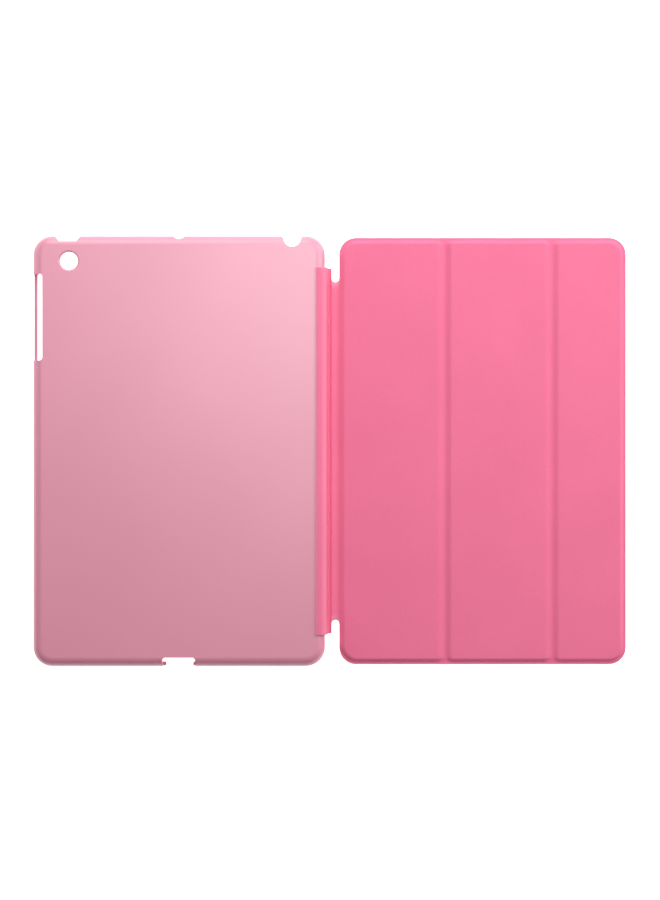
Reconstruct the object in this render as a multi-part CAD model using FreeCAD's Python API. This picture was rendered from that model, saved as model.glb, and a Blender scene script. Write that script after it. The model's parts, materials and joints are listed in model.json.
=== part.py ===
import FreeCAD, Part
import os

os.makedirs("parts", exist_ok=True)

# Folio case for a 7.9 inch tablet, lying open and face down.
# A hard translucent back shell lies at -X with its back up. A strip of leatherette on the shell's
# side wall and a narrow hinge web join it to a folding front cover at +X, outer skin up.
# X runs from the shell to the cover, +Y to the end with the camera hole, +Z up from the table.
# The origin is on the table at the middle of the open case. All sizes are in millimetres.

# Tablet that the shell is moulded round
TABLET_WIDTH = 134.7
TABLET_LENGTH = 200.0
TABLET_THICK = 7.2
TABLET_PLAY = 0.2

# Back shell
WALL = 1.2
RIM_HEIGHT = 0.6
LIP_REACH = 0.4
SEAT_PLAY = 0.1
SHELL_CORNER = 9.0
BACK_ROUND = 4.5
RIM_CHAMFER = 0.25
CASE_HALF_X = 140.0

SHELL_X0 = -CASE_HALF_X
SHELL_X1 = SHELL_X0 + TABLET_WIDTH + 2 * (TABLET_PLAY + WALL)
SHELL_HALF_Y = TABLET_LENGTH / 2 + TABLET_PLAY + WALL
SHELL_MID_X = (SHELL_X0 + SHELL_X1) / 2
SEAT_Z = RIM_HEIGHT + TABLET_THICK + SEAT_PLAY
SHELL_TOP = SEAT_Z + WALL

# Cut-outs of the shell, placed from its camera corner (left) and its camera end
BUTTONS_FROM_END = 18.0
BUTTONS_LENGTH = 40.9
BUTTONS_DEPTH = 4.8
BUTTONS_SILL = 1.8
BUTTONS_CORNER = 1.6
CAMERA_FROM_LEFT = 17.2
CAMERA_FROM_END = 12.1
CAMERA_RADIUS = 4.3
CAMERA_CHAMFER = 0.6
POWER_FROM_LEFT = 10.0
POWER_WIDTH = 12.5
POWER_DEPTH = 2.8
POWER_FLARE = 2.0
MIC_RADIUS = 3.0
MIC_DEPTH = 1.7
JACK_FROM_RIGHT = 15.4
JACK_RADIUS = 4.1
JACK_INSET = 1.4
JACK_FLARE = 1.25
PORT_WIDTH = 15.6
PORT_DEPTH = 4.4
PORT_CORNER = 1.6
PORT_MOUTH = 12.9
PORT_SHOULDER = 1.8
SPEAKER_LENGTH = 20.6
SPEAKER_HEIGHT = 3.0
SPEAKER_Z = 3.6
SPEAKER_FROM_MIDDLE = 19.9

# Leatherette sheets, boards and what is buried in them
SKIN = 0.6
LINING = 0.4
BOARD = 1.3
WEB_TOP = LINING + SKIN
PANEL_TOP = LINING + BOARD + SKIN
TAPE = 0.15
STIFFENER = 0.5

# Spine strip on the shell's right wall
SPINE_HALF_Y = 86.4
SPINE_BACK_X = -6.7
SPINE_FOOT = 0.8
SPINE_FACE_X = SHELL_X1 + TAPE + STIFFENER + SKIN
SPINE_RADIUS = SPINE_FACE_X - SPINE_BACK_X
SPINE_TOP = SHELL_TOP + TAPE + SKIN
STIFFENER_TOP = SPINE_TOP - SPINE_RADIUS

# Front cover: crease lines along Y, from the hinge to the free edge
CREASE_GAP = 0.1
HINGE_START = 0.15
CREASE_B = 5.4
FOLD_12 = (52.2, 56.2)
FOLD_23 = (102.9, 106.9)
COVER_X0 = 4.3
COVER_X1 = CASE_HALF_X
COVER_HALF_Y = 101.0
COVER_CORNER = 8.0
FLANGE = 1.7
HINGE_SHOULDER = 0.8
FOLD_SHOULDER = 0.4
BLOCK_CORNER = 1.5
BLOCK_ROUND = 0.8
LINING_MARGIN = 0.5

# Notches between the spine strip and the cover, at both ends of the hinge web
NOTCH_RADIUS = 1.9
NOTCH_X = 2.4
WEB_HALF_Y = 80.0 + NOTCH_RADIUS

# Steel strip in panel 1, and magnets in panel 3 that hold the stand together
STRIP_THICK = 0.4
STRIP_WIDTH = 6.0
STRIP_HALF_Y = 60.0
STRIP_X0 = CREASE_B + 3.1
MAGNET_LENGTH = 18.0
MAGNET_WIDTH = 5.0
MAGNET_THICK = 1.0
MAGNET_PITCH = 32.0
MAGNET_COUNT = 4
MAGNET_FROM_EDGE = 6.0
WAKE_RADIUS = 3.0
WAKE_FROM_EDGE = 12.0
WAKE_Y = 72.0
POCKET_PLAY = 0.1

# How far cutting solids run past what they cut, and how near counts as touching
PAST = 5.0
TOUCH = 1e-4


def vec(x, y, z):
    return FreeCAD.Vector(x, y, z)


def slab(x0, x1, y0, y1, z0, z1, left=0.0, right=0.0):
    """Plate with its own corner radius on the -X side and on the +X side."""
    corners = [
        (x0, y0, left, 1, 1),
        (x1, y0, right, -1, 1),
        (x1, y1, right, -1, -1),
        (x0, y1, left, 1, -1),
    ]
    half = 2 ** 0.5 / 2
    stops = []
    for number, (x, y, radius, inx, iny) in enumerate(corners):
        along_y = vec(x, y + iny * radius, z0)
        along_x = vec(x + inx * radius, y, z0)
        middle = vec(x + inx * radius * (1 - half), y + iny * radius * (1 - half), z0)
        first, last = (along_y, along_x) if number % 2 == 0 else (along_x, along_y)
        stops.append((first, middle, last, radius))
    edges = []
    for number, (first, middle, last, radius) in enumerate(stops):
        if radius > 0:
            edges.append(Part.Arc(first, middle, last).toShape())
        following = stops[(number + 1) % len(stops)][0]
        if last.distanceToPoint(following) > TOUCH:
            edges.append(Part.LineSegment(last, following).toShape())
    face = Part.Face(Part.Wire(edges))
    return face.extrude(vec(0, 0, z1 - z0))


def box(x0, x1, y0, y1, z0, z1):
    return Part.makeBox(x1 - x0, y1 - y0, z1 - z0, vec(x0, y0, z0))


def edges_at_height(shape, height):
    """Edges that lie wholly in one horizontal plane."""
    return [e for e in shape.Edges if all(abs(v.Z - height) < TOUCH for v in e.Vertexes)]


def rod_y(x, z, radius, half_length):
    return Part.makeCylinder(radius, 2 * half_length, vec(x, -half_length, z), vec(0, 1, 0))


def save(shape, node):
    shape = shape.removeSplitter()
    shape.exportStep("parts/" + node + ".step")
    print(node, "solids", len(shape.Solids), "volume", round(shape.Volume, 1), "valid", shape.isValid())


# ---- back shell -------------------------------------------------------------------------------


def shell_body():
    outer = slab(SHELL_X0, SHELL_X1, -SHELL_HALF_Y, SHELL_HALF_Y, 0, SHELL_TOP, SHELL_CORNER, SHELL_CORNER)
    outer = outer.makeFillet(BACK_ROUND, edges_at_height(outer, SHELL_TOP))
    outer = outer.makeChamfer(RIM_CHAMFER, edges_at_height(outer, 0))
    return outer.cut(shell_cavity())


def shell_cavity():
    """Room for the tablet, with a mouth narrowed by the lip that snaps over its front edge."""
    corner = SHELL_CORNER - WALL
    seat = slab(
        SHELL_X0 + WALL, SHELL_X1 - WALL, -SHELL_HALF_Y + WALL, SHELL_HALF_Y - WALL,
        RIM_HEIGHT, SEAT_Z, corner, corner,
    )
    seat = seat.makeFillet(BACK_ROUND - WALL, edges_at_height(seat, SEAT_Z))
    inset = WALL + LIP_REACH
    mouth = slab(
        SHELL_X0 + inset, SHELL_X1 - inset, -SHELL_HALF_Y + inset, SHELL_HALF_Y - inset,
        -PAST, RIM_HEIGHT, corner - LIP_REACH, corner - LIP_REACH,
    )
    return seat.fuse(mouth)


def camera_hole():
    x = SHELL_X0 + CAMERA_FROM_LEFT
    y = SHELL_HALF_Y - CAMERA_FROM_END
    hole = Part.makeCylinder(CAMERA_RADIUS, WALL + 2 * PAST, vec(x, y, SEAT_Z - PAST))
    flare = Part.makeCone(
        CAMERA_RADIUS, CAMERA_RADIUS + CAMERA_CHAMFER, CAMERA_CHAMFER,
        vec(x, y, SHELL_TOP - CAMERA_CHAMFER),
    )
    return hole.fuse(flare)


def button_window():
    """Volume and mute buttons on the left wall, open upwards, with a thin sill left along the rim."""
    y1 = SHELL_HALF_Y - BUTTONS_FROM_END
    y0 = y1 - BUTTONS_LENGTH
    inner_x = SHELL_X0 + BUTTONS_DEPTH
    window = slab(SHELL_X0 - PAST, inner_x, y0, y1, BUTTONS_SILL, SHELL_TOP + PAST, 0, BUTTONS_CORNER)
    behind_sill = box(SHELL_X0 + WALL, inner_x, y0, y1, -PAST, BUTTONS_SILL)
    return window.fuse(behind_sill)


def upright(points):
    """Outline in XY, cut through the whole height of the shell."""
    loop = [vec(x, y, -PAST) for x, y in points]
    face = Part.Face(Part.makePolygon(loop + loop[:1]))
    return face.extrude(vec(0, 0, SHELL_TOP + 2 * PAST))


def flared_mouth(x0, x1, depth, flare):
    """Opening in the top wall from x0 to x1 at its face, narrower by the flare at its depth."""
    inner_y = SHELL_HALF_Y - depth
    outer_y = SHELL_HALF_Y + PAST
    return upright([
        (x0, outer_y), (x0, SHELL_HALF_Y), (x0 + flare, inner_y),
        (x1 - flare, inner_y), (x1, SHELL_HALF_Y), (x1, outer_y),
    ])


def power_notch():
    x0 = SHELL_X0 + POWER_FROM_LEFT
    return flared_mouth(x0, x0 + POWER_WIDTH, POWER_DEPTH, POWER_FLARE)


def microphone_notch():
    """Shallow round notch in the middle of the top wall."""
    centre_y = SHELL_HALF_Y - MIC_DEPTH + MIC_RADIUS
    return Part.makeCylinder(MIC_RADIUS, SHELL_TOP + 2 * PAST, vec(SHELL_MID_X, centre_y, -PAST))


def jack_notch():
    """Half-round notch for a headphone plug, with a flared mouth."""
    x = SHELL_X1 - JACK_FROM_RIGHT
    centre = vec(x, SHELL_HALF_Y - JACK_INSET, -PAST)
    round_part = Part.makeCylinder(JACK_RADIUS, SHELL_TOP + 2 * PAST, centre)
    half_mouth = JACK_RADIUS + JACK_FLARE
    return round_part.fuse(flared_mouth(x - half_mouth, x + half_mouth, JACK_INSET, JACK_FLARE))


def port_notch():
    """Notch for the charging plug in the middle of the bottom wall, narrower where it cuts the rim."""
    outer_y = -SHELL_HALF_Y - PAST
    inner_y = -SHELL_HALF_Y + PORT_DEPTH
    half = PORT_WIDTH / 2
    wide = box(SHELL_MID_X - half, SHELL_MID_X + half, outer_y, inner_y, PORT_SHOULDER, SHELL_TOP + PAST)
    uprights = [e for e in wide.Edges if abs(e.Vertexes[0].Z - e.Vertexes[1].Z) > TOUCH]
    wide = wide.makeFillet(PORT_CORNER, [e for e in uprights if e.Vertexes[0].Y > -SHELL_HALF_Y])
    mouth = PORT_MOUTH / 2
    narrow = box(SHELL_MID_X - mouth, SHELL_MID_X + mouth, outer_y, inner_y, -PAST, PORT_SHOULDER)
    return wide.fuse(narrow)


def speaker_slot(side):
    """Long slot with round ends in the bottom wall; side is -1 or +1 of the charging port."""
    middle = SHELL_MID_X + side * SPEAKER_FROM_MIDDLE
    radius = SPEAKER_HEIGHT / 2
    reach = SPEAKER_LENGTH / 2 - radius
    y = -SHELL_HALF_Y - PAST
    depth = PAST + 2 * WALL
    slot = box(middle - reach, middle + reach, y, y + depth, SPEAKER_Z - radius, SPEAKER_Z + radius)
    for end in (-reach, reach):
        slot = slot.fuse(Part.makeCylinder(radius, depth, vec(middle + end, y, SPEAKER_Z), vec(0, 1, 0)))
    return slot


def back_shell():
    shell = shell_body()
    for cutter in (
        camera_hole(), button_window(), power_notch(), microphone_notch(),
        jack_notch(), port_notch(), speaker_slot(-1), speaker_slot(1),
    ):
        shell = shell.cut(cutter)
    return shell


# ---- spine strip on the shell's right wall --------------------------------------------------------


def wrapped_wall(offset, half_y):
    """Shell's right wall grown by an offset, as a solid to cut away or to slice a layer from."""
    centre_x = SHELL_X1 - BACK_ROUND
    centre_z = SHELL_TOP - BACK_ROUND
    round_part = rod_y(centre_x, centre_z, BACK_ROUND + offset, half_y)
    back = box(centre_x - PAST, centre_x, -half_y, half_y, 0, SHELL_TOP + offset)
    wall = box(centre_x, SHELL_X1 + offset, -half_y, half_y, -PAST, centre_z)
    return round_part.fuse(back).fuse(wall)


def spine_tape():
    layer = wrapped_wall(TAPE, SPINE_HALF_Y).cut(wrapped_wall(0, SPINE_HALF_Y + PAST))
    keep = box(SPINE_BACK_X, SHELL_X1 + PAST, -SPINE_HALF_Y, SPINE_HALF_Y, SPINE_FOOT, SHELL_TOP + PAST)
    return layer.common(keep)


def spine_stiffener():
    x0 = SHELL_X1 + TAPE
    return box(x0, x0 + STIFFENER, -SPINE_HALF_Y + FLANGE, SPINE_HALF_Y - FLANGE, SPINE_FOOT, STIFFENER_TOP)


def spine_skin():
    bulge = rod_y(SPINE_BACK_X, STIFFENER_TOP, SPINE_RADIUS, SPINE_HALF_Y)
    wall = box(SPINE_BACK_X, SPINE_FACE_X, -SPINE_HALF_Y, SPINE_HALF_Y, 0, STIFFENER_TOP)
    keep = box(SPINE_BACK_X, SPINE_FACE_X, -SPINE_HALF_Y, SPINE_HALF_Y, 0, SPINE_TOP)
    skin = bulge.fuse(wall).common(keep)
    skin = skin.cut(wrapped_wall(TAPE, SPINE_HALF_Y + PAST))
    return skin.cut(spine_stiffener())


# ---- front cover ----------------------------------------------------------------------------------


def cover_plan(z0, z1, inset=0.0):
    corner = COVER_CORNER - inset
    return slab(
        COVER_X0 + inset, COVER_X1 - inset, -COVER_HALF_Y + inset, COVER_HALF_Y - inset,
        z0, z1, corner, corner,
    )


def hinge_web(z0, z1):
    web = box(HINGE_START, CREASE_B - CREASE_GAP, -WEB_HALF_Y, WEB_HALF_Y, z0, z1)
    for end in (-WEB_HALF_Y, WEB_HALF_Y):
        web = web.cut(Part.makeCylinder(NOTCH_RADIUS, WEB_TOP + 2 * PAST, vec(NOTCH_X, end, -PAST)))
    return web


def fold_web(creases, z0, z1, inset=0.0):
    x0, x1 = creases
    strip = box(x0 + CREASE_GAP, x1 - CREASE_GAP, -COVER_HALF_Y, COVER_HALF_Y, z0, z1)
    return cover_plan(z0, z1, inset).common(strip)


def panel_plan(x0, x1, z0, z1, inset=0.0):
    """Cover outline between two creases; beside the hinge web the panel starts at crease B."""
    span = box(x0, x1, -COVER_HALF_Y, COVER_HALF_Y, z0, z1)
    plate = cover_plan(z0, z1, inset).common(span)
    if x0 < CREASE_B:
        half = WEB_HALF_Y + 2 * CREASE_GAP
        room = box(x0 - PAST, CREASE_B + CREASE_GAP, -half, half, z0 - PAST, z1 + PAST)
        plate = plate.cut(room)
    return plate


def raised_block(x0, x1, z0, z1, left, right, inset=0.0):
    """Part of a panel that stands proud over its board."""
    return slab(
        x0 + inset, x1 - inset, -COVER_HALF_Y + FLANGE + inset, COVER_HALF_Y - FLANGE - inset,
        z0, z1, left, right,
    )


def panel_skin(x0, x1, block, corners):
    """Sheet over one panel: flat at its rim, proud over the board, hollow underneath for it."""
    flange = panel_plan(x0, x1, LINING, WEB_TOP)
    proud = raised_block(*block, LINING, PANEL_TOP, *corners)
    proud = proud.makeFillet(BLOCK_ROUND, edges_at_height(proud, PANEL_TOP))
    pocket = raised_block(*block, LINING, LINING + BOARD, *board_corners(corners), inset=SKIN)
    return flange.fuse(proud).cut(pocket)


def board_corners(corners):
    return [corner - SKIN for corner in corners]


def panel_board(block, corners, buried):
    board = raised_block(*block, LINING, LINING + BOARD, *board_corners(corners), inset=SKIN)
    for pocket in buried:
        board = board.cut(pocket)
    return board


# ---- steel strip and magnets ------------------------------------------------------------------------


def steel_strip():
    """Steel strip let into the top of panel 1's board."""
    top = LINING + BOARD
    return box(STRIP_X0, STRIP_X0 + STRIP_WIDTH, -STRIP_HALF_Y, STRIP_HALF_Y, top - STRIP_THICK, top)


def edge_magnets(play=0.0):
    """Row of bar magnets beside the free edge."""
    x1 = COVER_X1 - MAGNET_FROM_EDGE + MAGNET_WIDTH / 2
    bars = []
    for number in range(MAGNET_COUNT):
        middle = (number - (MAGNET_COUNT - 1) / 2) * MAGNET_PITCH
        half = MAGNET_LENGTH / 2 + play
        bars.append(box(
            x1 - MAGNET_WIDTH - play, x1 + play, middle - half, middle + half,
            LINING, LINING + MAGNET_THICK,
        ))
    return Part.makeCompound(bars)


def wake_magnet(play=0.0):
    """Small round magnet that the tablet's sensor feels when the cover is shut."""
    centre = vec(COVER_X1 - WAKE_FROM_EDGE, WAKE_Y, LINING)
    return Part.makeCylinder(WAKE_RADIUS + play, MAGNET_THICK, centre)


# ---- write every piece ------------------------------------------------------------------------------


def save_panel(name, x0, x1, block, corners, buried):
    """Skin, board and lining of the panel from x0 to x1; block is where it stands proud."""
    save(panel_skin(x0, x1, block, corners), name + "_skin")
    save(panel_board(block, corners, buried), name + "_board")
    save(panel_plan(x0, x1, 0, LINING, LINING_MARGIN), name + "_lining")


def save_fold(name, creases):
    save(fold_web(creases, LINING, WEB_TOP), name + "_skin")
    save(fold_web(creases, 0, LINING, LINING_MARGIN), name + "_lining")


def save_shell_side():
    save(back_shell(), "back_shell")
    save(spine_tape(), "spine_tape")
    save(spine_stiffener(), "spine_stiffener")
    save(spine_skin(), "spine_skin")
    save(hinge_web(LINING, WEB_TOP), "hinge_web_skin")
    save(hinge_web(0, LINING), "hinge_web_lining")


def save_cover():
    outer_corner = COVER_CORNER - FLANGE
    save_panel(
        "panel_1", COVER_X0, FOLD_12[0] - CREASE_GAP,
        (CREASE_B + HINGE_SHOULDER, FOLD_12[0] - FOLD_SHOULDER),
        (outer_corner, BLOCK_CORNER), [steel_strip()],
    )
    save_panel(
        "panel_2", FOLD_12[1] + CREASE_GAP, FOLD_23[0] - CREASE_GAP,
        (FOLD_12[1] + FOLD_SHOULDER, FOLD_23[0] - FOLD_SHOULDER),
        (BLOCK_CORNER, BLOCK_CORNER), [],
    )
    save_panel(
        "panel_3", FOLD_23[1] + CREASE_GAP, COVER_X1,
        (FOLD_23[1] + FOLD_SHOULDER, COVER_X1 - FLANGE),
        (BLOCK_CORNER, outer_corner), [edge_magnets(POCKET_PLAY), wake_magnet(POCKET_PLAY)],
    )
    save_fold("fold_12", FOLD_12)
    save_fold("fold_23", FOLD_23)


save_shell_side()
save_cover()
save(steel_strip(), "stand_strip")
save(edge_magnets(), "edge_magnets")
save(wake_magnet(), "wake_magnet")
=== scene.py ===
import json
import math
from types import SimpleNamespace

import bpy
import numpy as np
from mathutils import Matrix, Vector


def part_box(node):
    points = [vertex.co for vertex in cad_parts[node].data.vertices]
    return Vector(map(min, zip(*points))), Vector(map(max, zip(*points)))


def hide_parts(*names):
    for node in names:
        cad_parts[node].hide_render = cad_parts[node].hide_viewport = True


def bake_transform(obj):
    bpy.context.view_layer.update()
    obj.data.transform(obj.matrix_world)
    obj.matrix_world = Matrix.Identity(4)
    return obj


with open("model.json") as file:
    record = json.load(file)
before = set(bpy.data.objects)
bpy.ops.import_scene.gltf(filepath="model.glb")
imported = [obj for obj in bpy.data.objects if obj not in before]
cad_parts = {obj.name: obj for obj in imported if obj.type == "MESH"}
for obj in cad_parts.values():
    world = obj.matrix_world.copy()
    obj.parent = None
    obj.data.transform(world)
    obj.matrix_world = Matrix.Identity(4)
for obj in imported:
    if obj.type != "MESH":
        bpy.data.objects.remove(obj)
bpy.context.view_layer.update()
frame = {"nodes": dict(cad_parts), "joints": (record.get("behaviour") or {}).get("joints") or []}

# Lengths are in millimetres, unless a comment says metres, and a mesh is made in metres.
MM = 0.001
# Slack when a place is compared with an outline
TINY = 1e-6


def box_mm(node):
    lo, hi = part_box(node)
    return np.array(lo) / MM, np.array(hi) / MM


CREASE = {j["name"]: np.array(j["pos_m"]) / MM for j in frame["joints"]}

# Heights and outlines that the CAD model fixes
LINING_TOP = box_mm("hinge_web_lining")[1][2]
FLANGE_TOP = box_mm("hinge_web_skin")[1][2]
PANEL_TOP = box_mm("panel_1_skin")[1][2]
SKIN = FLANGE_TOP - LINING_TOP
COVER_X0, COVER_X1 = box_mm("panel_1_skin")[0][0], box_mm("panel_3_skin")[1][0]
COVER_HALF_Y = box_mm("panel_1_skin")[1][1]
COVER_CORNER = 8.0
STRIP_LO, STRIP_HI = box_mm("spine_skin")
WEB_HALF_Y = box_mm("hinge_web_skin")[1][1]
NOTCH_RADIUS = 1.9
NOTCH_X = COVER_X0 - NOTCH_RADIUS

# Soft shoulders where the skin climbs onto a board
FLANGE = 1.7
RIM_OUT, RIM_IN = 0.8, 1.2
BOARD_CORNER = 3.3
GROOVE_OUT, GROOVE_IN = 2.2, 1.0
GROOVE_SHARE = 0.12
BOARDS = [box_mm("panel_%d_board" % n) for n in (1, 2, 3)]
BLOCKS = [(lo[0] - SKIN, hi[0] + SKIN) for lo, hi in BOARDS]
UNEVENNESS = 0.03

# The long slope from the hinge web up to the first board
HINGE_FOOT, HINGE_CREST = 3.2, 7.1
# Past the ends of the web the slope starts at the cover's edge instead
SHORT_FOOT = COVER_X0 + 0.2
WEB_END_LEAD, WEB_END_RUN = 3.0, 5.0
# Further out still, it gives way to the same rim as on the other sides
HINGE_END_Y, HINGE_END_RUN = 86.0, 11.0

# Seams between the pieces of each sheet, where it is flat and nothing bends
WEB_SEAM = NOTCH_X
FOLD_12_SEAM = (CREASE["fold_12_inner_crease"][0] + CREASE["fold_12_outer_crease"][0]) / 2
FOLD_23_SEAM = (CREASE["fold_23_inner_crease"][0] + CREASE["fold_23_outer_crease"][0]) / 2
PANEL_1_SEAM = 30.0
PANEL_2_SEAM = 80.0


def smooth(t):
    t = np.clip(t, 0.0, 1.0)
    return t * t * (3 - 2 * t)


def graded(a, b, near_a, near_b, most):
    """Stops from a to b, near_a apart at a and near_b apart at b, and up to most apart between."""
    left, right = [a], [b]
    while right[-1] - left[-1] > 1.5 * max(near_a, near_b):
        if near_a <= near_b:
            left.append(left[-1] + near_a)
            near_a = min(near_a * 1.35, most)
        else:
            right.append(right[-1] - near_b)
            near_b = min(near_b * 1.35, most)
    return left + right[::-1]


def merged(stops, gap=0.19):
    """Sorted stops without near-doubles; the first and last stay."""
    stops = sorted(stops)
    kept = [stops[0]]
    for x in stops[1:]:
        if x - kept[-1] >= gap:
            kept.append(x)
    kept[-1] = stops[-1]
    return kept


def from_edge(x, y, inset=0.0):
    """Distance inwards from the rounded outline of the cover."""
    half_x = (COVER_X1 - COVER_X0) / 2 - inset
    half_y = COVER_HALF_Y - inset
    corner = COVER_CORNER - inset
    qx = abs(x - (COVER_X0 + COVER_X1) / 2) - half_x + corner
    qy = abs(y) - half_y + corner
    return corner - math.hypot(max(qx, 0), max(qy, 0)) - min(max(qx, qy), 0)


def board_share(inside, past_flange):
    """Rise of the skin near a board's edges, which meet in a rounded corner."""
    a, b = max(BOARD_CORNER - inside, 0), max(BOARD_CORNER - past_flange, 0)
    if a + b == 0:
        return 1.0
    width = (a * (GROOVE_OUT + GROOVE_IN) + b * (RIM_OUT + RIM_IN)) / (a + b)
    return float(smooth((BOARD_CORNER - math.hypot(a, b)) / width))


def relief(x, y):
    """0 on the flange, 1 on top of the boards, and a little over 0 in the grooves."""
    end = float(smooth((abs(y) - HINGE_END_Y) / HINGE_END_RUN))
    past_flange = from_edge(x, y) - FLANGE + RIM_OUT
    if x < COVER_X0 + COVER_CORNER:
        past_flange = past_flange * end + BOARD_CORNER * (1 - end)
    share = 0.0
    for number, (x0, x1) in enumerate(BLOCKS):
        left = x - x0 + GROOVE_OUT if number > 0 else BOARD_CORNER
        right = x1 - x + GROOVE_OUT if number < len(BLOCKS) - 1 else BOARD_CORNER
        share += board_share(min(left, right), past_flange)
    share = min(share, 1.0)
    if x > BLOCKS[0][0] + COVER_CORNER:
        rim = float(smooth(past_flange / (RIM_OUT + RIM_IN)))
        return GROOVE_SHARE * rim + (1 - GROOVE_SHARE) * share
    hinge = hinge_rise(x, y)
    return share * (hinge + end * (1 - hinge))


def sway(x, y):
    """Faint unevenness of a glued sheet."""
    return (
        math.sin(x * 0.21 + 1.3) * math.sin(y * 0.083 + 0.4)
        + 0.6 * math.sin(x * 0.11 - y * 0.14 + 2.0)
        + 0.4 * math.sin(x * 0.37 + y * 0.29)
    ) / 2


# Outer face of the skin from the strip's foot (x, z), through the crease and over the hinge web
RIDGE_POWER = 0.88
# Where along x the painted highlight on the strip's ridge is centred
RIDGE_X = -2.3
WRAP_FOOT = [(-1.24, 3.4), (-1.16, 2.4), (-0.98, 1.65), (-0.68, 1.20)]
WEB_PROFILE = [
    (-0.40, 1.05), (-0.15, 1.07), (0.10, 1.19), (0.40, 1.36), (0.75, 1.45), (1.10, 1.43),
    (1.50, 1.34), (1.90, 1.23), (2.20, 1.15), (2.40, 1.10), (2.60, 1.06), (3.00, 1.01), (3.60, 1.0),
]


def web_height(x):
    xs, zs = zip(*WEB_PROFILE)
    return float(np.interp(x, xs, zs))


def hinge_rise(x, y):
    """Long slope up to the first board from the hinge web, shorter past the ends of the web."""
    past_end = float(smooth((abs(y) - WEB_HALF_Y + WEB_END_LEAD) / WEB_END_RUN))
    foot = HINGE_FOOT + past_end * (SHORT_FOOT - HINGE_FOOT)
    return float(smooth((x - foot) / (HINGE_CREST - foot)))


def skin_height(x, y):
    share = relief(x, y)
    return web_height(x) + (PANEL_TOP - FLANGE_TOP) * share + UNEVENNESS * sway(x, y) * share


def core_half(x, inset=0.0):
    """Half length of the sheet between the end notches."""
    radius = NOTCH_RADIUS + inset
    if abs(x - NOTCH_X) >= radius:
        return WEB_HALF_Y
    return WEB_HALF_Y - math.sqrt(radius ** 2 - (x - NOTCH_X) ** 2)


def cover_half(x, inset=0.0):
    """Half length of the cover outline at x."""
    corner = COVER_CORNER - inset
    reach = corner - min(x - COVER_X0 - inset, COVER_X1 - inset - x)
    if reach <= 0:
        return COVER_HALF_Y - inset
    reach = min(reach, corner)
    return COVER_HALF_Y - inset - corner + math.sqrt(corner ** 2 - reach ** 2)


# ---- closed sheets from grids ----------------------------------------------------------------

CORE_ROWS = list(np.linspace(-1, 1, 45))

# Rounding of a cut edge: its share at 45 degrees, and how much tighter the under side is
ARC_MIDDLE = 0.293
UNDER_ROUND = 0.5
# How much of the cut's paler colour shows on the last points of the top face
TOP_CUT = 0.85
SHARP_ANGLE = 55


def row_list(steps, length):
    """(side, share) of each row: side 0 is the core, -1 and 1 are the ends past it."""
    shares = [1 - d / length for d in steps]
    ends_low = [(-1, s) for s in shares]
    ends_high = [(1, s) for s in reversed(shares)]
    return ends_low + [(0, t) for t in CORE_ROWS] + ends_high


class Column:
    """One line of a sheet's grid across Y: place and height of both faces, and how far it runs."""

    def __init__(self, top, under, core, end=None, along=None):
        self.top, self.under = top, under
        self.core, self.end, self.along = core, end, along

    def y(self, side, share):
        if side == 0:
            return share * self.core
        if self.end is None:
            return None
        return side * (self.core + share * (self.end - self.core))


def grid_of(columns, rows):
    """Points of both faces, their places on the flat sheet, and the point at each crossing."""
    tops, unders, flat, index = [], [], [], {}
    for i, column in enumerate(columns):
        for j, (side, share) in enumerate(rows):
            y = column.y(side, share)
            if y is None:
                continue
            index[i, j] = len(tops)
            tops.append(column.top(y))
            unders.append(column.under(y))
            flat.append((column.along, y))
    return np.array(tops), np.array(unders), flat, index


def quads_of(index, column_count, row_count):
    quads = []
    for i in range(column_count - 1):
        for j in range(row_count - 1):
            corners = [(i, j), (i + 1, j), (i + 1, j + 1), (i, j + 1)]
            if all(c in index for c in corners):
                quads.append([index[c] for c in corners])
    return quads


def normals_of(points, quads):
    """Unit normals of the quads, and of the points."""
    of_quads = []
    of_points = np.zeros_like(points)
    for q in quads:
        n = np.cross(points[q[2]] - points[q[0]], points[q[3]] - points[q[1]])
        of_quads.append(n / np.linalg.norm(n))
        of_points[q] += n
    return of_quads, of_points / np.linalg.norm(of_points, axis=1)[:, None]


def rim_of(points, quads, quad_normals, seam_points):
    """Cut edges of the grid, and the way outwards from each point on them."""
    uses = {}
    for q, normal in zip(quads, quad_normals):
        for a, b in zip(q, q[1:] + q[:1]):
            uses.setdefault(frozenset((a, b)), []).append((a, b, normal))
    rim = []
    outward = np.zeros_like(points)
    for found in uses.values():
        a, b, normal = found[0]
        if len(found) > 1 or (a in seam_points and b in seam_points):
            continue
        rim.append((a, b))
        out = np.cross(points[b] - points[a], normal)
        out /= np.linalg.norm(out)
        outward[a] += out
        outward[b] += out
    on_rim = sorted({v for edge in rim for v in edge})
    return rim, {v: outward[v] / np.linalg.norm(outward[v]) for v in on_rim}


def rounded_cut(top, low, out, normal, radius):
    """Both faces drawn in at a cut edge, and the three points that round it between them."""
    drawn_in = (top - out * radius, low - out * radius * UNDER_ROUND)
    ring = [
        top - (out + normal) * radius * ARC_MIDDLE,
        top - normal * radius,
        low + normal * radius * UNDER_ROUND,
    ]
    return drawn_in, ring


def rim_faces(rim, chains):
    faces = []
    for a, b in rim:
        here, there = chains[a], chains[b]
        for k in range(len(here) - 1):
            faces.append([here[k], here[k + 1], there[k + 1], there[k]])
    return faces


def seam_faces(line, at_start, chains, count):
    """Flat end along a seam, with the rounded cut's profile at both of its corners."""
    faces = []
    for a, b in zip(line, line[1:]):
        cap = [a, count + a, count + b, b]
        faces.append(cap[::-1] if at_start else cap)
    for v, flip in ((line[0], at_start), (line[-1], not at_start)):
        if v in chains:
            faces.append(chains[v] if flip else chains[v][::-1])
    return faces


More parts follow.
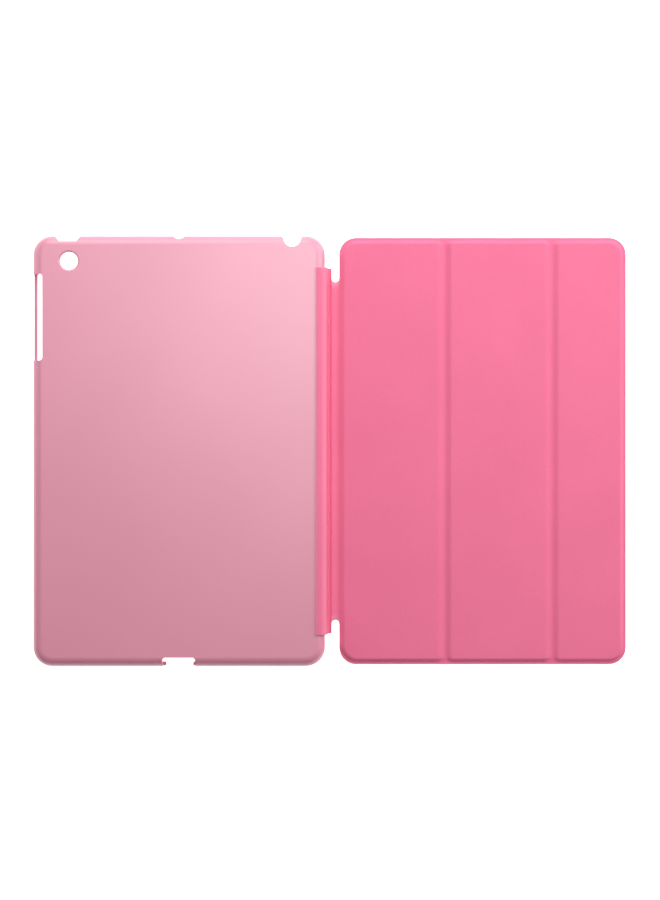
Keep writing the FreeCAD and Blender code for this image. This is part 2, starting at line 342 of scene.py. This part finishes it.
def finished_mesh(name, points, faces, flats, cut):
    """Mesh in metres with its flat layout, its cut edges marked, and smooth shading."""
    mesh = bpy.data.meshes.new(name)
    mesh.from_pydata([tuple(p * MM) for p in points], [], faces)
    mesh.validate()
    mesh.update()
    layer = mesh.uv_layers.new(name="flat")
    for loop in mesh.loops:
        layer.data[loop.index].uv = [c * MM for c in flats[loop.vertex_index]]
    mesh.attributes.new("cut_edge", "FLOAT", "POINT").data.foreach_set("value", cut)
    for polygon in mesh.polygons:
        polygon.use_smooth = True
    mesh.set_sharp_from_angle(angle=math.radians(SHARP_ANGLE))
    return mesh


def sheet_mesh(name, columns, rows, seams, rim_round):
    """Closed sheet: a top and an under grid, rounded cut edges, and flat ends at the seams."""
    tops, unders, flat, index = grid_of(columns, rows)
    quads = quads_of(index, len(columns), len(rows))
    quad_normals, normals = normals_of(tops, quads)
    lines = {}
    for end in seams:
        i = end * (len(columns) - 1)
        lines[end] = [index[i, j] for j in range(len(rows)) if (i, j) in index]
    rim, outward = rim_of(tops, quads, quad_normals, {v for line in lines.values() for v in line})

    count = len(tops)
    points, flats, cut = list(tops) + list(unders), flat + flat, [0.0] * (2 * count)
    chains = {}
    for v, out in outward.items():
        (points[v], points[count + v]), ring = rounded_cut(tops[v], unders[v], out, normals[v], rim_round)
        chains[v] = [v, *range(len(points), len(points) + len(ring)), count + v]
        points += ring
        flats += [flat[v]] * len(ring)
        cut += [1.0] * len(ring)
        cut[v], cut[count + v] = TOP_CUT, 1.0
    faces = quads + [[count + v for v in reversed(q)] for q in quads] + rim_faces(rim, chains)
    for end, line in lines.items():
        faces += seam_faces(line, end == 0, chains, count)
    return finished_mesh(name, points, faces, flats, cut)


# ---- pieces of the two sheets ------------------------------------------------------------------

# Label, the two bodies that the piece joins, their crease, and the bend's reach before and after it
SPANS = [
    ("wrap", ("root", "hinge_web"), "spine_crease", 1.2, 1.0),
    ("panel_1_hinge_side", ("hinge_web", "panel_1"), "cover_crease", 1.0, 0.8),
    ("panel_1_fold_side", ("panel_1", "fold_12"), "fold_12_inner_crease", 1.0, 1.0),
    ("panel_2_inner", ("fold_12", "panel_2"), "fold_12_outer_crease", 1.0, 1.0),
    ("panel_2_outer", ("panel_2", "fold_23"), "fold_23_inner_crease", 1.0, 1.0),
    ("panel_3_all", ("fold_23", "panel_3"), "fold_23_outer_crease", 1.0, 1.0),
]

# Spacing of a sheet's columns over the web, in the folds, beside the outline's corners and over
# the boards. The gaps are the least last steps over the web and in a fold, reach is how far the
# folds' spacing runs onto a board, and the corners' own columns stop at corner_x and corner_run.
SKIN_PITCH = SimpleNamespace(
    web=0.38, web_gap=0.2, fold=0.33, fold_gap=0.15, outline=0.8, board=3.5,
    reach=GROOVE_IN + 0.3, corner_x=12.5, corner_run=8.4,
)
LINING_PITCH = SimpleNamespace(
    web=0.36, web_gap=0.25, fold=0.45, fold_gap=0.2, outline=0.9, board=5.0,
    reach=2.2, corner_x=12.8, corner_run=8.0,
)
CORNER_TURNS = (0, 14, 20, 26, 34, 42, 50, 58, 66, 74, 82, 90)


def corner_stops(inset):
    """Distances from the cover's side edge at which its corner arc is cut into short turns."""
    return [(COVER_CORNER - inset) * (1 - math.cos(math.radians(a))) for a in CORNER_TURNS]


def even(start, stop, step, gap):
    """Stops from start, one step apart, that end at least gap before stop."""
    return list(np.arange(start, stop - gap, step))


def cover_stops(inset, edge_steps, pitch):
    """Columns of each piece from the web's seam to the free edge."""
    x0, x1 = COVER_X0 + inset, COVER_X1 - inset
    from_side = corner_stops(inset) + edge_steps
    first = even(WEB_SEAM, x0, pitch.web, pitch.web_gap) + merged([x0 + d for d in from_side])
    first += graded(pitch.corner_x, PANEL_1_SEAM, pitch.outline, pitch.board, pitch.board)
    pieces = [first]
    folds = [
        (PANEL_1_SEAM, FOLD_12_SEAM, PANEL_2_SEAM, pitch.board),
        (PANEL_2_SEAM, FOLD_23_SEAM, x1 - pitch.corner_run, pitch.outline),
    ]
    for number, (before, seam, after, last_step) in enumerate(folds):
        lo, hi = BLOCKS[number][1] - pitch.reach, BLOCKS[number + 1][0] + pitch.reach
        climb = graded(before, lo, pitch.board, pitch.fold, pitch.board)
        pieces.append(climb + even(lo + pitch.fold, seam, pitch.fold, pitch.fold_gap) + [seam])
        rest = graded(hi, after, pitch.fold, last_step, pitch.board)
        pieces.append(even(seam, hi, pitch.fold, pitch.fold_gap) + rest)
    pieces[-1] += merged([x1 - d for d in from_side])
    return pieces


def seams_of(number):
    """Ends of a piece that meet its neighbours: 0 is the first column and 1 the last."""
    return [end for end, meets in ((0, number > 0), (1, number < len(SPANS) - 1)) if meets]


def nodes_of(kind, bodies):
    return ["%s_%s" % (body, kind) for body in bodies]


def add_piece(kind, number, columns, rows, look, nodes):
    label, bodies, crease, before, after = SPANS[number]
    name = kind + "_" + label
    mesh = sheet_mesh(name, columns, rows, seams_of(number), look.rim_round)
    mesh.materials.append(look.material)
    piece = bpy.data.objects.new(name, mesh)
    bpy.context.scene.collection.objects.link(piece)
    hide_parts(*nodes)
    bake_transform(piece)


# ---- the leatherette skin -----------------------------------------------------------------------

# Distances past the ends of the web, and past the strip's straight part, at which rows lie
END_STEPS = [0, 0.3, 0.6, 0.9, 1.2, 1.45, 1.7, 1.95, 2.2, 2.5, 2.8, 3.3, 4.2, 5.6, 7.6, 10.4, 14.2]
STRIP_STEPS = [0, 0.35, 0.8, 1.4, 2.3, 3.3]
# Of them, those that the cover's side edges need as well
EDGE_STEPS = END_STEPS[:12]
BEND_POINTS = 19
LAST_WEB_STEP = 0.05
SKIN_RIM_ROUND = 0.15


def spline(points, steps=5):
    """Catmull-Rom samples through points."""
    points = [np.array(p, float) for p in points]
    points = [2 * points[0] - points[1]] + points + [2 * points[-1] - points[-2]]
    out = []
    for a, b, c, d in zip(points, points[1:], points[2:], points[3:]):
        for k in range(steps):
            t = k / steps
            square, cube = 2 * a - 5 * b + 4 * c - d, 3 * b - a - 3 * c + d
            out.append(0.5 * (2 * b + (c - a) * t + square * t ** 2 + cube * t ** 3))
    return out + [points[-2]]


def strip_bend():
    """Outer and inner face of the skin from the strip's back edge round to its upright face."""
    back_x, radius = STRIP_LO[0], STRIP_HI[0] - STRIP_LO[0]
    middle_z, inner_radius = STRIP_HI[2] - radius, radius - SKIN
    outer, inner = [], []
    for a in np.radians(np.linspace(0, 90, BEND_POINTS)):
        across, up = math.sin(a), math.cos(a)
        swell = across ** RIDGE_POWER, up ** RIDGE_POWER
        outer.append(np.array([back_x + radius * swell[0], middle_z + radius * swell[1]]))
        inner.append(np.array([back_x + inner_radius * across, middle_z + inner_radius * up]))
    return outer, inner


def wrap_path():
    """Outer and inner face of the skin from the strip's back edge down to the web's seam."""
    outer, inner = strip_bend()
    face_foot = (STRIP_HI[0], STRIP_HI[2] - (STRIP_HI[0] - STRIP_LO[0]))
    foot = spline([face_foot, *WRAP_FOOT, *WEB_PROFILE])[1:]
    foot = [p for p in foot if p[0] <= WEB_SEAM - LAST_WEB_STEP]
    foot.append(np.array([WEB_SEAM, web_height(WEB_SEAM)]))
    for before, p, after in zip([outer[-1]] + foot, foot, foot[1:] + foot[-1:]):
        along = (after - before) / np.linalg.norm(after - before)
        inner.append(p - SKIN * np.array([-along[1], along[0]]))
    return outer + foot, inner


def run_lengths(path):
    """Length of the path up to each of its points."""
    lengths = [0.0]
    for a, b in zip(path, path[1:]):
        lengths.append(lengths[-1] + np.linalg.norm(b - a))
    return lengths


def ridge_along():
    """Place along the unrolled skin of the strip's ridge, where a highlight is painted."""
    path, _ = wrap_path()
    upper = [k for k, (_, z) in enumerate(path) if z >= STRIP_HI[2] / 2]
    ridge = min(upper, key=lambda k: abs(path[k][0] - RIDGE_X))
    return WEB_SEAM - run_lengths(path[ridge:])[-1]


def wrap_columns():
    path, inner = wrap_path()
    lengths = run_lengths(path)
    columns = []
    for p, q, run in zip(path, inner, lengths):
        full = p[0] <= NOTCH_X - NOTCH_RADIUS + TINY
        columns.append(Column(
            lambda y, p=p: np.array([p[0], y, p[1]]),
            lambda y, q=q: np.array([q[0], y, q[1]]),
            WEB_HALF_Y if full else core_half(p[0]),
            STRIP_HI[1] if full else None,
            WEB_SEAM + run - lengths[-1],
        ))
    return columns


def skin_under(x, y):
    """Flat on the lining beside the first board, and one skin below the top elsewhere."""
    return LINING_TOP if x < BLOCKS[0][0] else skin_height(x, y) - SKIN


def skin_column(x):
    return Column(
        lambda y: np.array([x, y, skin_height(x, y)]),
        lambda y: np.array([x, y, skin_under(x, y)]),
        core_half(x),
        cover_half(x) if x >= COVER_X0 - TINY else None,
        x,
    )


def build_skin(material):
    look = SimpleNamespace(material=material, slot="leatherette", rim_round=SKIN_RIM_ROUND)
    rows = row_list(STRIP_STEPS, STRIP_HI[1] - WEB_HALF_Y)
    add_piece("skin", 0, wrap_columns(), rows, look, ["spine_skin", "hinge_web_skin"])
    rows = row_list(END_STEPS, COVER_HALF_Y - WEB_HALF_Y)
    for number, stops in enumerate(cover_stops(0.0, EDGE_STEPS, SKIN_PITCH), 1):
        bodies = SPANS[number][1]
        columns = [skin_column(float(x)) for x in stops]
        add_piece("skin", number, columns, rows, look, nodes_of("skin", bodies))


# ---- the microfibre lining ----------------------------------------------------------------------

LINING_INSET = 0.5
LINING_START = STRIP_HI[0] - SKIN
LINING_STEPS = [0, 0.4, 0.9, 1.6, 2.6, 4.2, 6.6, 10.0, 14.0]
LINING_STRIP_STEPS = LINING_STEPS[:5]
LINING_RIM_ROUND = 0.06
LINING_NOTCH = NOTCH_RADIUS + LINING_INSET
LINING_FIRST_STOPS = 8
NOTCH_STEP, NOTCH_GAP = 0.35, 0.2

# Between the boards the lining is drawn up by this much, over almost the cover's whole length
DRAWN_UP = 0.2
DRAWN_PAST_WEB, DRAWN_RUN = 19.0, 3.0
DRAWN_EDGE, DRAWN_SLOPE = 1.25, 1.1
DRAWN_GAPS = [
    (COVER_X0 - 3.4, BOARDS[0][0][0]),
    (BOARDS[0][1][0], BOARDS[1][0][0]),
    (BOARDS[1][1][0], BOARDS[2][0][0]),
]


def lining_sink(x):
    """How far the lining is drawn up between the boards, 0 to 1."""
    share = 0.0
    for a, b in DRAWN_GAPS:
        middle, half = (a + b) / 2, (b - a) / 2
        share += float(smooth(DRAWN_EDGE - abs(x - middle) / half * DRAWN_SLOPE))
    return min(share, 1.0)


def lining_column(x):
    end = None
    if x <= NOTCH_X - LINING_NOTCH + TINY:
        end = STRIP_HI[1] - LINING_INSET
    elif x >= NOTCH_X + LINING_NOTCH - TINY:
        end = cover_half(x, LINING_INSET)
    low = DRAWN_UP * lining_sink(x)

    def under(y):
        fade = float(smooth((WEB_HALF_Y + DRAWN_PAST_WEB - abs(y)) / DRAWN_RUN))
        return np.array([x, y, low * fade])

    return Column(lambda y: np.array([x, y, LINING_TOP]), under, core_half(x, LINING_INSET), end, x)


def lining_wrap_stops():
    notch_start = NOTCH_X - NOTCH_RADIUS - LINING_INSET
    before = list(np.linspace(LINING_START, notch_start, LINING_FIRST_STOPS))
    return before + even(notch_start + NOTCH_STEP, WEB_SEAM, NOTCH_STEP, NOTCH_GAP) + [WEB_SEAM]


def build_lining(material):
    look = SimpleNamespace(material=material, slot="microfibre", rim_round=LINING_RIM_ROUND)
    rows = row_list(LINING_STRIP_STEPS, STRIP_HI[1] - LINING_INSET - WEB_HALF_Y)
    columns = [lining_column(float(x)) for x in lining_wrap_stops()]
    add_piece("lining", 0, columns, rows, look, ["hinge_web_lining"])
    rows = row_list(LINING_STEPS, COVER_HALF_Y - LINING_INSET - WEB_HALF_Y)
    for number, stops in enumerate(cover_stops(LINING_INSET, [], LINING_PITCH), 1):
        bodies = SPANS[number][1]
        columns = [lining_column(float(x)) for x in stops]
        nodes = nodes_of("lining", bodies)
        add_piece("lining", number, columns, rows, look, nodes)


# ---- materials ----------------------------------------------------------------------------------


class Nodes:
    """Shorthand for wiring one material."""

    SOCKETS = {
        "colour": "Base Color", "rough": "Roughness", "normal": "Normal", "metal": "Metallic",
        "alpha": "Alpha", "specular": "Specular IOR Level", "sheen": "Sheen Weight",
        "sheen_rough": "Sheen Roughness",
    }

    def __init__(self, name):
        self.material = bpy.data.materials.new(name)
        self.material.use_nodes = True
        self.tree = self.material.node_tree
        self.shader = self.tree.nodes["Principled BSDF"]

    def add(self, kind, **values):
        node = self.tree.nodes.new("ShaderNode" + kind)
        for key, value in values.items():
            setattr(node, key, value)
        return node

    def link(self, source, target):
        self.tree.links.new(source, target)

    def feed(self, socket, value):
        """Links a socket to another one, or sets it to a colour or a number."""
        if hasattr(value, "is_linked"):
            self.link(value, socket)
        elif hasattr(value, "__len__"):
            socket.default_value = (*value, 1.0)
        else:
            socket.default_value = value

    def flat(self):
        return self.add("UVMap", uv_map="flat").outputs["UV"]

    def solid(self):
        return self.add("TexCoord").outputs["Object"]

    def axis(self, where, letter):
        node = self.add("SeparateXYZ")
        self.link(where, node.inputs["Vector"])
        return node.outputs[letter]

    def scaled(self, where, scale, turn=0.0):
        node = self.add("Mapping")
        self.link(where, node.inputs["Vector"])
        node.inputs["Scale"].default_value = scale
        node.inputs["Rotation"].default_value[2] = turn
        return node.outputs["Vector"]

    def noise(self, where, scale, detail, rough):
        node = self.add("TexNoise")
        self.link(where, node.inputs["Vector"])
        node.inputs["Scale"].default_value = scale
        node.inputs["Detail"].default_value = detail
        node.inputs["Roughness"].default_value = rough
        return node.outputs["Fac"]

    def cells(self, where, scale):
        node = self.add("TexVoronoi", feature="SMOOTH_F1")
        self.link(where, node.inputs["Vector"])
        node.inputs["Scale"].default_value = scale
        return node.outputs["Distance"]

    def ramp(self, value, low, high, a=0.0, b=1.0):
        node = self.add("MapRange")
        self.link(value, node.inputs["Value"])
        for key, number in (("From Min", low), ("From Max", high), ("To Min", a), ("To Max", b)):
            node.inputs[key].default_value = number
        return node.outputs["Result"]

    def math(self, operation, a, b=0.0):
        node = self.add("Math", operation=operation)
        for socket, value in zip(node.inputs, (a, b)):
            self.feed(socket, value)
        return node.outputs["Value"]

    def mix(self, share, a, b):
        node = self.add("Mix", data_type="RGBA", blend_type="MIX")
        sockets = [s for s in node.inputs if s.enabled]
        for socket, value in zip(sockets, (share, a, b)):
            self.feed(socket, value)
        return next(s for s in node.outputs if s.enabled)

    def bump(self, height, strength, distance, under=None):
        node = self.add("Bump")
        node.inputs["Strength"].default_value = strength
        node.inputs["Distance"].default_value = distance
        self.link(height, node.inputs["Height"])
        if under is not None:
            self.link(under, node.inputs["Normal"])
        return node.outputs["Normal"]

    def set(self, **values):
        for key, value in values.items():
            self.feed(self.shader.inputs[self.SOCKETS[key]], value)
        return self.material


# In metres on the unrolled skin: how wide the painted highlight along the strip's ridge reaches, and its
# brightest middle
PAINTED_HIGHLIGHT_REACH, PAINTED_HIGHLIGHT_MIDDLE = 0.0026, 0.0004
# Heights in metres over which a deeper tint is painted down the shell's walls, standing in for light seen
# through more and more plastic
DEPTH_TINT_TOP, DEPTH_TINT_FULL = 0.0090, 0.0060


def leatherette():
    """Pink imitation leather: fine pebble grain on a woven backing, paler where it is cut, with a painted
    highlight along the strip's ridge.
    """
    rose, rose_light, pore = (0.785, 0.163, 0.291), (0.820, 0.174, 0.306), (0.66, 0.10, 0.21)
    painted_highlight, cut_edge = (0.95, 0.32, 0.43), (0.80, 0.34, 0.43)
    n = Nodes("leatherette")
    flat = n.flat()
    grain = n.cells(flat, 2900)
    wrinkle = n.noise(flat, 900, 3.0, 0.6)
    blotch = n.noise(flat, 28, 2.0, 0.5)
    cloth = n.noise(n.scaled(flat, (1.0, 2.6, 1.0), 0.5), 160, 3.0, 0.6)
    height = n.math("ADD", grain, n.math("MULTIPLY", wrinkle, 0.7))
    fine = n.bump(height, 0.35, 0.00006)
    normal = n.bump(cloth, 0.10, 0.0002, under=fine)
    colour = n.mix(n.ramp(blotch, 0.3, 0.7), rose, rose_light)
    colour = n.mix(n.ramp(grain, 0.55, 0.15, 0.0, 0.20), colour, pore)
    from_ridge = n.math("ABSOLUTE", n.math("SUBTRACT", n.axis(flat, "X"), ridge_along() * MM))
    # Painted highlight: lighter colour along the strip's rounded ridge, where side light would catch it
    colour = n.mix(n.ramp(from_ridge, PAINTED_HIGHLIGHT_REACH, PAINTED_HIGHLIGHT_MIDDLE, 0.0, 0.42), colour, painted_highlight)
    edge = n.add("Attribute", attribute_name="cut_edge").outputs["Fac"]
    colour = n.mix(n.math("MULTIPLY", edge, 0.75), colour, cut_edge)
    wear = n.math("ADD", n.math("MULTIPLY", blotch, 0.5), n.math("MULTIPLY", wrinkle, 0.5))
    rough = n.ramp(wear, 0.3, 0.7, 0.70, 0.80)
    return n.set(colour=colour, rough=rough, normal=normal, specular=0.25, sheen=0.05, sheen_rough=0.5)


def microfibre():
    """Pale pink brushed lining with short fibres and a nap that lies in patches."""
    nap_dark, nap_pale, fibre_tip = (0.69, 0.275, 0.38), (0.77, 0.33, 0.44), (0.88, 0.50, 0.60)
    n = Nodes("microfibre")
    flat = n.flat()
    fibres = n.noise(n.scaled(flat, (1.0, 0.35, 1.0), 0.35), 5200, 3.0, 0.7)
    tangle = n.noise(flat, 2400, 4.0, 0.7)
    nap = n.noise(n.scaled(flat, (1.0, 0.5, 1.0), -0.4), 60, 3.0, 0.6)
    height = n.math("ADD", fibres, tangle)
    colour = n.mix(n.ramp(nap, 0.35, 0.65), nap_dark, nap_pale)
    colour = n.mix(n.ramp(tangle, 0.35, 0.65, 0.0, 0.35), colour, fibre_tip)
    rough = n.ramp(tangle, 0.3, 0.7, 0.86, 0.97)
    normal = n.bump(height, 0.5, 0.00012)
    return n.set(colour=colour, rough=rough, normal=normal, specular=0.15, sheen=0.55, sheen_rough=0.45)


def frosted_shell():
    """Frosted, slightly clear pink plastic, with a painted deeper tint down its walls standing in for
    light seen through their thickness.
    """
    milky, milky_light, painted_deep_tint = (0.725, 0.268, 0.376), (0.755, 0.284, 0.394), (0.66, 0.15, 0.26)
    n = Nodes("frosted_shell")
    where = n.solid()
    frost = n.noise(where, 2600, 2.0, 0.6)
    flow = n.noise(where, 14, 2.0, 0.5)
    scuff = n.noise(n.scaled(where, (1.0, 1.6, 1.0), 0.6), 320, 4.0, 0.6)
    # Painted shade: the walls get deeper in colour towards the floor, in place of light passing through
    # thick plastic
    painted_depth_share = n.ramp(n.axis(where, "Z"), DEPTH_TINT_TOP, DEPTH_TINT_FULL, 0.0, 0.35)
    colour = n.mix(n.ramp(flow, 0.3, 0.7), milky, milky_light)
    colour = n.mix(painted_depth_share, colour, painted_deep_tint)
    rough = n.ramp(scuff, 0.3, 0.7, 0.345, 0.370)
    normal = n.bump(frost, 0.12, 0.00004)
    return n.set(colour=colour, rough=rough, normal=normal, alpha=0.95, specular=1.0)


def stiff_board():
    """Pale grey pressed board with darker specks."""
    board_dark, board_pale, speck_grey = (0.72, 0.70, 0.66), (0.80, 0.78, 0.74), (0.50, 0.47, 0.43)
    n = Nodes("stiff_board")
    where = n.solid()
    speck = n.noise(where, 1500, 3.0, 0.7)
    cloud = n.noise(where, 90, 2.0, 0.5)
    colour = n.mix(n.ramp(cloud, 0.3, 0.7), board_dark, board_pale)
    colour = n.mix(n.ramp(speck, 0.62, 0.75, 0.0, 0.5), colour, speck_grey)
    rough = n.ramp(speck, 0.3, 0.7, 0.8, 0.92)
    return n.set(colour=colour, rough=rough, normal=n.bump(speck, 0.3, 0.00008), specular=0.25)


def adhesive_tape():
    """Off-white double-sided tape, rippled across its length."""
    n = Nodes("adhesive_tape")
    ripple = n.noise(n.scaled(n.solid(), (1.0, 3.0, 1.0)), 260, 3.0, 0.6)
    colour = n.mix(n.ramp(ripple, 0.3, 0.7), (0.74, 0.72, 0.66), (0.84, 0.82, 0.78))
    rough = n.ramp(ripple, 0.3, 0.7, 0.35, 0.55)
    return n.set(colour=colour, rough=rough, normal=n.bump(ripple, 0.2, 0.00006), specular=0.45)


def strip_steel():
    """Cold-rolled steel with lines along its length."""
    n = Nodes("strip_steel")
    where = n.solid()
    lines = n.noise(n.scaled(where, (9.0, 0.25, 9.0)), 900, 3.0, 0.6)
    cloud = n.noise(where, 70, 2.0, 0.5)
    colour = n.mix(n.ramp(cloud, 0.3, 0.7), (0.50, 0.50, 0.51), (0.62, 0.62, 0.63))
    rough = n.ramp(lines, 0.3, 0.7, 0.28, 0.44)
    return n.set(colour=colour, metal=1.0, rough=rough, normal=n.bump(lines, 0.15, 0.00003))


def magnet():
    """Nickel plating with fine pits."""
    n = Nodes("magnet")
    where = n.solid()
    pits = n.noise(where, 2200, 3.0, 0.6)
    cloud = n.noise(where, 150, 2.0, 0.5)
    colour = n.mix(n.ramp(cloud, 0.3, 0.7), (0.62, 0.61, 0.59), (0.72, 0.71, 0.69))
    rough = n.ramp(pits, 0.4, 0.7, 0.16, 0.30)
    return n.set(colour=colour, metal=1.0, rough=rough, normal=n.bump(pits, 0.1, 0.00002))


def dress(material, *nodes):
    """Gives carried-over CAD nodes their material."""
    for node in nodes:
        slots = frame["nodes"][node].material_slots
        for slot in slots:
            slot.material = material
        if not slots:
            frame["nodes"][node].data.materials.append(material)


# ---- studio, in metres --------------------------------------------------------------------------

FLOOR_HALF, FLOOR_Z, FLOOR_GLOW = 3.0, -0.0001, 0.85
SURROUND_STRENGTH = 0.07

# Disc lights aimed at the middle of the object: name, place, diameter, and power in watts
LIGHTS = [
    ("key", (0.05, 0.25, 1.40), 0.42, 4.8),
    ("sky", (-0.22, 0.72, 0.95), 0.80, 2.4),
    ("right", (0.60, 0.26, 0.40), 0.80, 4.8),
    ("left", (-0.95, 0.28, 0.30), 0.58, 1.6),
    ("back", (-0.04, 0.47, 0.31), 0.50, 1.7),
]

# The camera looks straight down, and its long side spans SCENE_LONG_SIDE at the cover's top
CAMERA_HEIGHT = 0.9
COVER_LEVEL = 0.003
CAMERA_PLACE = (-0.00014, 0.00047, CAMERA_HEIGHT + COVER_LEVEL)
SCENE_LONG_SIDE = 0.42546
SENSOR = 36.0


def floor():
    a, z = FLOOR_HALF, FLOOR_Z
    mesh = bpy.data.meshes.new("floor")
    mesh.from_pydata([(-a, -a, z), (a, -a, z), (a, a, z), (-a, a, z)], [], [(0, 1, 2, 3)])
    piece = bpy.data.objects.new("floor", mesh)
    bpy.context.scene.collection.objects.link(piece)
    n = Nodes("floor")
    n.set(colour=(0.92, 0.92, 0.92), rough=0.9, specular=0.1)
    n.shader.inputs["Emission Color"].default_value = (1, 1, 1, 1)
    n.shader.inputs["Emission Strength"].default_value = FLOOR_GLOW
    mesh.materials.append(n.material)


def disc_light(name, place, size, energy):
    data = bpy.data.lights.new(name, "AREA")
    data.shape = "DISK"
    data.size = size
    data.energy = energy
    lamp = bpy.data.objects.new(name, data)
    lamp.location = place
    lamp.rotation_euler = (-Vector(place)).to_track_quat("-Z", "Y").to_euler()
    bpy.context.scene.collection.objects.link(lamp)


def studio():
    scene = bpy.context.scene
    scene.view_settings.view_transform = "Standard"
    world = bpy.data.worlds.new("studio")
    world.use_nodes = True
    background = world.node_tree.nodes["Background"]
    background.inputs["Color"].default_value = (1.0, 1.0, 1.0, 1.0)
    background.inputs["Strength"].default_value = SURROUND_STRENGTH
    scene.world = world
    for light in LIGHTS:
        disc_light(*light)


def camera():
    data = bpy.data.cameras.new("camera")
    data.sensor_width = SENSOR
    data.lens = SENSOR * CAMERA_HEIGHT / SCENE_LONG_SIDE
    eye = bpy.data.objects.new("camera", data)
    eye.location = CAMERA_PLACE
    bpy.context.scene.collection.objects.link(eye)
    bpy.context.scene.camera = eye


camera()
studio()
floor()
build_skin(leatherette())
build_lining(microfibre())
dress(frosted_shell(), "back_shell")
dress(adhesive_tape(), "spine_tape")
dress(stiff_board(), "spine_stiffener", "panel_1_board", "panel_2_board", "panel_3_board")
dress(strip_steel(), "stand_strip")
dress(magnet(), "edge_magnets", "wake_magnet")
